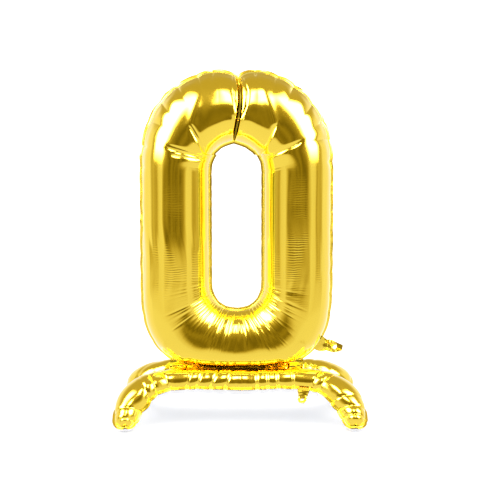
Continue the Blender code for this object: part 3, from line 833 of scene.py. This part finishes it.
def make_tongue(name, side, node, material):
    """The strip between the ring's bottom margin and the web, crumpled where it hangs free."""
    rng = np.random.default_rng(SEED + 70 + side)
    x = np.linspace(-TONGUE_WIDTH / 2, TONGUE_WIDTH / 2, round(TONGUE_WIDTH / STRIP_STEP))[None, :]
    z = np.linspace(TONGUE_FOOT, TONGUE_TOP, round((TONGUE_TOP - TONGUE_FOOT) / STRIP_STEP))[:, None]
    x, z = np.broadcast_arrays(x, z)
    low, high = TONGUE_STRETCH
    free = smoothstep(TONGUE_FOOT, low + 0.006, z) * (1 - smoothstep(high - 0.004, TONGUE_TOP - 0.006, z))
    forward, aside, up = TONGUE_CRUMPLE
    y = TONGUE_DEPTH - free * (TONGUE_SLACK + forward * (1 + crumple(rng, x, z)))
    moved = x + aside * free * crumple(rng, x, z)
    raised = z + up * free * crumple(rng, x, z)
    points = np.stack((side * TONGUE_X + RING_SHIFT + moved, y, raised), axis=-1).reshape(-1, 3)
    seam = np.full(x.size, STRIP_SEAM)
    strip = mesh_object(name, points, grid_faces(*x.shape), material, seam=seam)
    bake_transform(strip)
    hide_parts(node)


def make_tails_and_tongues(gold, silver):
    make_tail("number", "front", 1, RING_TAIL, ring_tail_root(), gold, 61)
    make_tail("number", "back", -1, RING_TAIL, ring_tail_root(), gold, 61)
    make_tail("base", "upper", 1, BASE_TAIL, base_tail_root(), gold, 62)
    make_tail("base", "lower", -1, BASE_TAIL, base_tail_root(), silver, 62)
    make_tongue("foil_tongue_left", -1, "joining_tongue_left", gold)
    make_tongue("foil_tongue_right", 1, "joining_tongue_right", gold)


# ---- shader nodes


class Tree:
    """The node tree of a material or a world, with short ways to add nodes and link them."""

    def __init__(self, owner):
        owner.use_nodes = True
        self.owner, self.nodes, self.links = owner, owner.node_tree.nodes, owner.node_tree.links

    def fill(self, node, inputs):
        """Sets each input, or links it if it is given a socket."""
        for key, value in inputs.items():
            if isinstance(value, bpy.types.NodeSocket):
                self.links.new(value, node.inputs[key])
            else:
                node.inputs[key].default_value = value

    def add(self, kind, inputs=None, **settings):
        node = self.nodes.new("ShaderNode" + kind)
        for key, value in settings.items():
            setattr(node, key, value)
        self.fill(node, inputs or {})
        return node

    def calculate(self, operation, *values):
        return self.add("Math", dict(enumerate(values)), operation=operation).outputs[0]

    def finished(self, looks):
        self.fill(self.nodes["Principled BSDF"], looks)
        return self.owner

    def mixed(self, first, second, factor):
        inputs = {"A": first, "B": second, "Factor": factor}
        return self.add("Mix", inputs, data_type="RGBA").outputs["Result"]

    def noise(self, inputs, **settings):
        return self.add("TexNoise", inputs, **settings).outputs["Fac"]


# ---- materials

GOLD, GOLD_ROUGHNESS = (0.92, 0.625, 0.055), 0.06
SILVER, SILVER_ROUGHNESS = (0.89, 0.82, 0.69), 0.10
GLOSS = {"Metallic": 1.0, "Coat Weight": 0.16, "Coat Roughness": 0.06, "Coat IOR": 1.5}
CLOUD_SCALE, CLOUD_DARK, CLOUD_LIGHT = 9.0, 0.94, 1.04
HAZE_SCALE, HAZE, SEAM_HAZE = 150.0, 0.07, 0.12
CRINKLE_SCALE, CRINKLE_HEIGHT, CRINKLE_RANGE = 26.0, 0.0006, (0.10, 0.28)  # the last beside the seams
RIPPLE_SCALE, RIPPLE_HEIGHT, RIPPLE_WANDER = 62.0, 0.0001, 5.0
PATCH_SCALE, PATCH_RANGE = 17.0, (0.45, 0.70)  # the ripples come in patches
FILM_DARK, FILM_LIGHT, FILM_SCALE = (0.80, 0.83, 0.84, 1), (0.93, 0.95, 0.95, 1), 90.0


def foil_material(name, colour, roughness):
    """Metallised film under a clear gloss layer, with fine crinkles that are stronger beside the seams."""
    tree = Tree(bpy.data.materials.new(name))
    place = tree.add("TexCoord").outputs["Object"]
    near_seam = tree.add("Attribute", attribute_name="seam").outputs["Fac"]
    dark, light = ((*(c * share for c in colour), 1) for share in (CLOUD_DARK, CLOUD_LIGHT))
    tint = tree.mixed(dark, light, tree.noise({"Vector": place, "Scale": CLOUD_SCALE}))

    fine = tree.noise({"Vector": place, "Scale": HAZE_SCALE, "Detail": 3.0})
    haze = tree.add("MapRange", {"Value": fine, "To Min": roughness, "To Max": roughness + HAZE})
    dulled = tree.calculate("MULTIPLY_ADD", near_seam, SEAM_HAZE, haze.outputs["Result"])

    crinkle = {"Vector": place, "Scale": CRINKLE_SCALE, "Detail": 3.0}
    crinkle = tree.noise(crinkle, noise_type="RIDGED_MULTIFRACTAL")
    least, most = CRINKLE_RANGE
    amount = tree.add("MapRange", {"Value": near_seam, "To Min": least, "To Max": most})
    bump = {"Distance": CRINKLE_HEIGHT, "Strength": amount.outputs["Result"], "Height": crinkle}
    bump = tree.add("Bump", bump).outputs["Normal"]

    wavelets = {"Vector": place, "Scale": RIPPLE_SCALE, "Distortion": RIPPLE_WANDER}
    wavelets |= {"Detail": 1.0, "Detail Scale": 0.6}
    wavelets = tree.add("TexWave", wavelets, bands_direction="Z").outputs["Fac"]
    least, most = PATCH_RANGE
    patches = tree.noise({"Vector": place, "Scale": PATCH_SCALE})
    patches = tree.add("MapRange", {"Value": patches, "From Min": least, "From Max": most}).outputs["Result"]
    on_limb = tree.add("Attribute", attribute_name="ripple").outputs["Fac"]
    strength = tree.calculate("MULTIPLY", patches, on_limb)
    ripples = {"Distance": RIPPLE_HEIGHT, "Strength": strength, "Height": wavelets, "Normal": bump}
    normal = tree.add("Bump", ripples).outputs["Normal"]
    return tree.finished(GLOSS | {"Base Color": tint, "Roughness": dulled, "Normal": normal})


def film_material():
    tree = Tree(bpy.data.materials.new("clear_film"))
    colour = tree.mixed(FILM_DARK, FILM_LIGHT, tree.noise({"Scale": FILM_SCALE}))
    return tree.finished({"Alpha": 0.45, "Roughness": 0.25, "Base Color": colour})


# ---- stage

# Softboxes: name, place, width, height and radiance
CARDS = (
    ("over_camera", (0.0, -1.98, 2.56), 0.84, 1.55, 17.0),
    ("top_left", (-2.12, -1.38, 2.05), 2.3, 2.9, 20.0),
    ("top_right", (2.12, -1.38, 2.05), 2.3, 2.9, 20.0),
)
CARDS_FACE = (0, 0, 0.42)
SOFT_FROM = 0.45  # a softbox fades from this share of its half size to its edge
FLOOR_REACH, FLOOR_WHITE = 14.0, (0.97, 0.97, 0.97, 1)

# What the foil reflects: (degrees round from the front, glow), the same to the left and to the right
GLOW_AROUND = (
    (0, 0.30), (6, 0.20), (12, 0.34), (19, 0.17), (28, 0.34), (35, 0.66), (42, 0.98), (57, 0.92),
    (65, 0.50), (75, 0.70), (84, 0.60), (93, 1.05), (150, 1.15), (180, 1.0),
)
# The same by degrees below level
GLOW_BELOW = ((0, 0.0), (2, 0.20), (4, 0.42), (8, 0.88), (13, 1.0), (50, 1.05), (90, 1.05))
GLOW_ABOVE = (18, 45)  # degrees above level between which the glow around gives way to the dim ceiling
CEILING = 0.60
DIM_TINT, LIT_TINT = (1.0, 0.84, 0.05, 1), (1.0, 1.08, 1.30, 1)  # the studio is warmer where it is dim
RELIT_TINT = (1.55, 2.40, 4.8, 1)  # of what reaches the foil by way of other foil, which takes the blue
SEEN_GLOW = 1.70  # of the white that the camera sees, and that lights the floor

CAMERA_PLACE, CAMERA_TARGET = (0.0, -2.0, 0.55), (0.0218, 0.0, 0.368)
LENS, SENSOR_WIDTH = 66.0, 36.0


def plane(name, width, height, material):
    data = bpy.data.meshes.new(name)
    x, y = width / 2, height / 2
    data.from_pydata([(-x, -y, 0), (x, -y, 0), (x, y, 0), (-x, y, 0)], [], [(0, 1, 2, 3)])
    data.materials.append(material)
    return linked(name, data)


def card(name, centre, width, height, radiance):
    """A glowing softbox, brightest in its middle, that the camera doesn't see but the foil does."""
    tree = Tree(bpy.data.materials.new(name))
    tree.nodes.remove(tree.nodes["Principled BSDF"])
    parts = tree.add("SeparateXYZ", {"Vector": tree.add("TexCoord").outputs["Object"]})
    strength = radiance
    for axis, reach in (("X", width / 2), ("Y", height / 2)):
        fade = {"Value": tree.calculate("ABSOLUTE", parts.outputs[axis]), "To Min": 1.0, "To Max": 0.0}
        fade |= {"From Min": reach * SOFT_FROM, "From Max": reach}
        fade = tree.add("MapRange", fade, interpolation_type="SMOOTHSTEP").outputs["Result"]
        strength = tree.calculate("MULTIPLY", fade, strength)
    glow = tree.add("Emission", {"Strength": strength}).outputs["Emission"]
    clear = tree.add("BsdfTransparent").outputs["BSDF"]
    both = tree.add("AddShader", {0: glow, 1: clear}).outputs["Shader"]
    tree.fill(tree.nodes["Material Output"], {"Surface": both})

    obj = plane(name, width, height, tree.owner)
    direction = Vector(CARDS_FACE) - Vector(centre)
    obj.rotation_mode = "QUATERNION"
    obj.rotation_quaternion = direction.to_track_quat("Z", "Y")
    obj.location = centre
    obj.visible_camera = False
    obj.visible_diffuse = False


def make_stage():
    looks = {"Base Color": FLOOR_WHITE, "Roughness": 1.0, "Specular IOR Level": 0.0}
    pale = Tree(bpy.data.materials.new("pale_floor")).finished(looks)
    floor = plane("floor", 2 * FLOOR_REACH, 2 * FLOOR_REACH, pale)
    floor.visible_glossy = False
    for each in CARDS:
        card(*each)


def ramp(tree, value, stops, span):
    """A curve through (degrees, glow) stops, for a value in radians."""
    node = tree.add("ValToRGB", {"Fac": tree.calculate("DIVIDE", value, math.radians(span))})
    elements = node.color_ramp.elements
    most = max(glow for _, glow in stops)
    for k, (degrees, glow) in enumerate(stops):
        element = elements[k] if k < 2 else elements.new(degrees / span)
        element.position = degrees / span
        element.color = (glow / most, glow / most, glow / most, 1)
    return tree.calculate("MULTIPLY", node.outputs["Color"], most)


def make_world():
    """White to the camera and on the floor. The foil reflects a studio that is dark behind the camera."""
    world = bpy.data.worlds.new("studio")
    bpy.context.scene.world = world
    tree = Tree(world)
    parts = tree.add("SeparateXYZ", {"Vector": tree.add("TexCoord").outputs["Generated"]})
    x, y, z = (parts.outputs[axis] for axis in "XYZ")
    lift = tree.calculate("ARCSINE", z)
    sideways = tree.calculate("ABSOLUTE", x)
    around = tree.calculate("ARCTAN2", sideways, tree.calculate("MULTIPLY", y, -1.0))
    below = tree.calculate("MAXIMUM", tree.calculate("MULTIPLY", lift, -1.0), 0.0)
    low, high = (math.radians(degrees) for degrees in GLOW_ABOVE)
    height = {"Value": lift, "From Min": low, "From Max": high}
    height = tree.add("MapRange", height, interpolation_type="SMOOTHSTEP").outputs["Result"]
    above = {"Factor": height, "A": ramp(tree, around, GLOW_AROUND, 180), "B": CEILING}
    above = tree.add("Mix", above).outputs["Result"]
    glow = tree.calculate("MAXIMUM", above, ramp(tree, below, GLOW_BELOW, 90))

    path = tree.add("LightPath")
    again = tree.calculate("GREATER_THAN", path.outputs["Glossy Depth"], 1.5)
    tint = tree.mixed(DIM_TINT, LIT_TINT, tree.calculate("MULTIPLY", glow, glow))
    tint = tree.mixed(tint, RELIT_TINT, again)
    reflected = tree.nodes["Background"]
    tree.fill(reflected, {"Color": tint, "Strength": glow})
    seen = tree.add("Background", {"Color": (1, 1, 1, 1), "Strength": SEEN_GLOW})
    either = {"Fac": path.outputs["Is Glossy Ray"], 1: seen.outputs["Background"]}
    either[2] = reflected.outputs["Background"]
    shader = tree.add("MixShader", either).outputs["Shader"]
    tree.fill(tree.nodes["World Output"], {"Surface": shader})
    bpy.context.scene.view_settings.view_transform = "Standard"


def make_camera():
    data = bpy.data.cameras.new("camera")
    data.sensor_width = SENSOR_WIDTH
    data.lens = LENS
    camera = linked("camera", data)
    camera.location = CAMERA_PLACE
    direction = Vector(CAMERA_TARGET) - camera.location
    camera.rotation_euler = direction.to_track_quat("-Z", "Y").to_euler()
    bpy.context.scene.camera = camera


# ---- all of it

make_camera()
make_world()
make_stage()
gold_foil = foil_material("gold_foil", GOLD, GOLD_ROUGHNESS)
silver_foil = foil_material("silver_foil", SILVER, SILVER_ROUGHNESS)
clear_film = film_material()
make_ring(gold_foil)
make_base(gold_foil, silver_foil)
make_tails_and_tongues(gold_foil, silver_foil)
for name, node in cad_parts.items():
    finish = silver_foil if "lower_ply" in name else clear_film if "film" in name else gold_foil
    if not node.hide_render:
        node.data.materials.clear()
        node.data.materials.append(finish)
